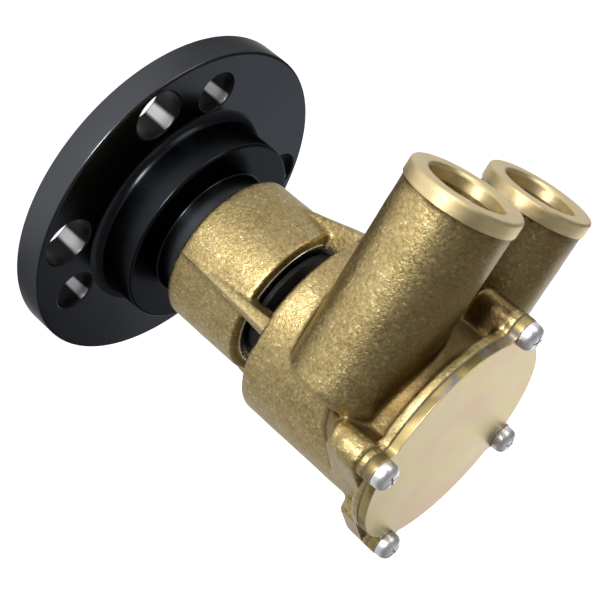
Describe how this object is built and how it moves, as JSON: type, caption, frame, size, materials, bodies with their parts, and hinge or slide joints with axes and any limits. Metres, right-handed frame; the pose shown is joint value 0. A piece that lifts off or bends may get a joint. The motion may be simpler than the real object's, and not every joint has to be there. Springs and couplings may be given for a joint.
{
  "type": "flexible impeller pump",
  "caption": "Cast bronze flexible impeller pump with side-by-side hose ports, a screwed end cover, open drain windows and a black drive flange on its shaft.",
  "frame": {"origin": "on the shaft axis, in the plane of the drive flange's mounting face", "axes": "+Z along the shaft from the drive flange towards the end cover, -Y the way both hose ports point, +X from the second port to the first"},
  "size_m": [0.127, 0.1395, 0.1481],
  "materials": {
    "cast_bronze": "sand cast, grainy, with turned gold collars and bores",
    "cover_bronze": "pale, smooth, faintly mottled",
    "turned_brass": "turned",
    "flange_black": "black anodised, satin gloss",
    "steel": "machined steel",
    "bearing_steel": "ground and polished",
    "spring_steel": "dark phosphated",
    "screw_steel": "bright plated pan heads",
    "black_rubber": "matt black rubber",
    "seal_rubber": "dark rubber, faint sheen",
    "copper": "soft copper",
    "gasket": "pressed fibre paper"
  },
  "bodies": {
    "housing": {"pump_housing": "cast_bronze", "housing_circlip": "spring_steel", "bearing_outer_rings": "bearing_steel", "bearing_seals": "seal_rubber", "lip_seal": "seal_rubber", "garter_spring": "steel", "wear_plate": "turned_brass", "cam": "turned_brass", "cam_screw": "steel", "cam_screw_washer": "copper", "cover_gasket": "gasket", "end_cover": "cover_bronze", "cover_screws": "screw_steel"},
    "rotor": {"drive_flange": "flange_black", "flange_key": "steel", "flange_washer": "steel", "flange_nut": "steel", "shaft": "steel", "spacer_sleeve": "steel", "bearing_inner_rings": "bearing_steel", "slinger": "black_rubber", "impeller_key": "steel", "impeller_bush": "turned_brass", "impeller": "black_rubber"},
    "ball_sets": {"bearing_balls": "bearing_steel", "bearing_cages": "turned_brass"}
  },
  "joints": [
    {"name": "shaft_spin", "type": "hinge", "parent": "housing", "child": "rotor", "pos_m": [0, 0, 0], "axis": [0, 0, 1], "continuous": true, "deforming": ["impeller"]},
    {"name": "cage_spin", "type": "hinge", "parent": "housing", "child": "ball_sets", "pos_m": [0, 0, 0], "axis": [0, 0, 1], "continuous": true}
  ],
  "couplings": [
    {"joint": "cage_spin", "follows": "shaft_spin", "ratio": 0.3821}
  ]
}
